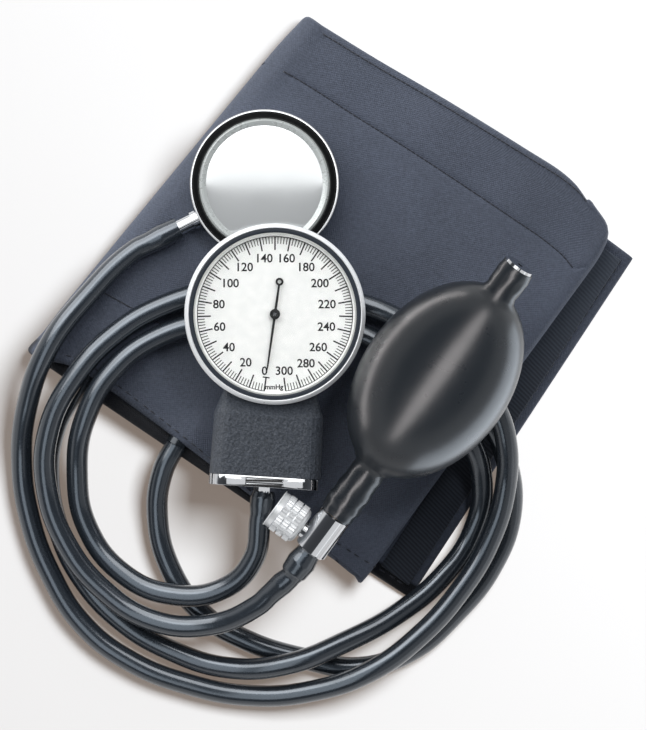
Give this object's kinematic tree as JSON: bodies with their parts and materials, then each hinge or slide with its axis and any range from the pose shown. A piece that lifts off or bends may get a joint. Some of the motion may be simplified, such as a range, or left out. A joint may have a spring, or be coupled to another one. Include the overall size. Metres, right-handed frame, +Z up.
{
  "type": "aneroid sphygmomanometer",
  "caption": "Blood pressure set laid on a table: folded cuff, round dial gauge with box, rubber bulb with air valve, stethoscope chestpiece and looped rubber hoses.",
  "frame": {"origin": "on the table, under the middle of the box round everything but the hoses and the tube's connector", "axes": "+Z up from the table, +X to the right and +Y away from the user in the pictured view"},
  "size_m": [0.2004, 0.2221, 0.0703],
  "materials": {
    "cuff_cloth": "plain-woven coated nylon",
    "bladder_rubber": "smooth",
    "tape": "woven hook or loop pile",
    "chrome": "polished plate",
    "black_plastic": "moulded",
    "ring_metal": "satin",
    "diaphragm_film": "glossy film",
    "case_enamel": "fine crinkle enamel",
    "crystal_clear": "clear moulded lens",
    "ring_white": "bright",
    "dial_white": "matt white, printed",
    "movement_brass": "milled",
    "steel": "turned",
    "pointer_black": "matt black",
    "spring_blue": "blued",
    "bulb_rubber": "moulded, satin",
    "hose_rubber": "smooth, satin"
  },
  "bodies": {
    "sphygmomanometer": {"cuff": "cuff_cloth", "bladder": "bladder_rubber", "hook_strip": "tape", "loop_panel": "tape", "chestpiece_body": "chrome", "non_chill_ring": "black_plastic", "diaphragm_ring": "ring_metal", "diaphragm": "diaphragm_film", "chestpiece_stem": "chrome", "gauge_case": "case_enamel", "end_plate": "chrome", "gauge_nipple": "chrome", "bezel": "chrome", "bezel_gasket": "black_plastic", "crystal": "crystal_clear", "dial_ring": "ring_white", "dial": "dial_white", "lower_plate": "movement_brass", "upper_plate": "movement_brass", "movement_pillars": "movement_brass", "movement_screws": "steel", "hairspring": "spring_blue", "hairspring_stud": "movement_brass", "bellows": "movement_brass", "bellows_base": "movement_brass", "bulb": "bulb_rubber", "inlet_valve": "chrome", "valve_body": "chrome", "valve_spigot": "movement_brass", "valve_nipple": "chrome", "bulb_hose": "hose_rubber", "gauge_hose": "hose_rubber", "stethoscope_tube": "hose_rubber", "tube_connector": "chrome"},
    "sector": {"sector_gear": "movement_brass", "sector_arbor": "steel"},
    "pointer_arbor": {"pointer": "pointer_black", "pointer_pinion": "steel"},
    "bellows_rod": {"push_rod": "steel", "bellows_head": "movement_brass"},
    "needle": {"valve_needle": "steel"},
    "knob": {"valve_knob": "chrome"},
    "inlet_check": {"inlet_ball": "steel"},
    "outlet_check": {"outlet_ball": "steel"}
  },
  "joints": [
    {"name": "sector_swing", "type": "hinge", "parent": "sphygmomanometer", "child": "sector", "pos_m": [-0.02304, -0.01397, 0.0313], "axis": [0, 0, 1], "range_deg": [0, 38.23], "stiffness_Nm_per_rad": 0.0004},
    {"name": "pointer_turn", "type": "hinge", "parent": "sphygmomanometer", "child": "pointer_arbor", "pos_m": [-0.0183, -0.0024, 0.0313], "axis": [0, 0, -1], "range_deg": [0, 344.1], "deforming": ["hairspring"]},
    {"name": "push_rod_slide", "type": "slide", "parent": "sphygmomanometer", "child": "bellows_rod", "axis": [0.0628, 0.998, 0], "range_m": [0, 0.00262], "deforming": ["bellows"]},
    {"name": "knob_turn", "type": "hinge", "parent": "needle", "child": "knob", "pos_m": [-0.01268, -0.0682, 0.03148], "axis": [-0.807, 0.5906, 0], "range_deg": [0, 720.1]},
    {"name": "needle_slide", "type": "slide", "parent": "sphygmomanometer", "child": "needle", "axis": [-0.807, 0.5906, 0], "range_m": [0, 0.0008]},
    {"name": "inlet_ball_lift", "type": "slide", "parent": "sphygmomanometer", "child": "inlet_check", "axis": [-0.5757, -0.7866, -0.2232], "range_m": [0, 0.0009]},
    {"name": "outlet_ball_lift", "type": "slide", "parent": "sphygmomanometer", "child": "outlet_check", "axis": [-0.5757, -0.7866, -0.2232], "range_m": [0, 0.0009]}
  ],
  "couplings": [
    {"joint": "sector_swing", "follows": "push_rod_slide", "rad_per_m": 254.7},
    {"joint": "pointer_turn", "follows": "push_rod_slide", "rad_per_m": 2292.3},
    {"joint": "knob_turn", "follows": "needle_slide", "rad_per_m": 15708}
  ]
}
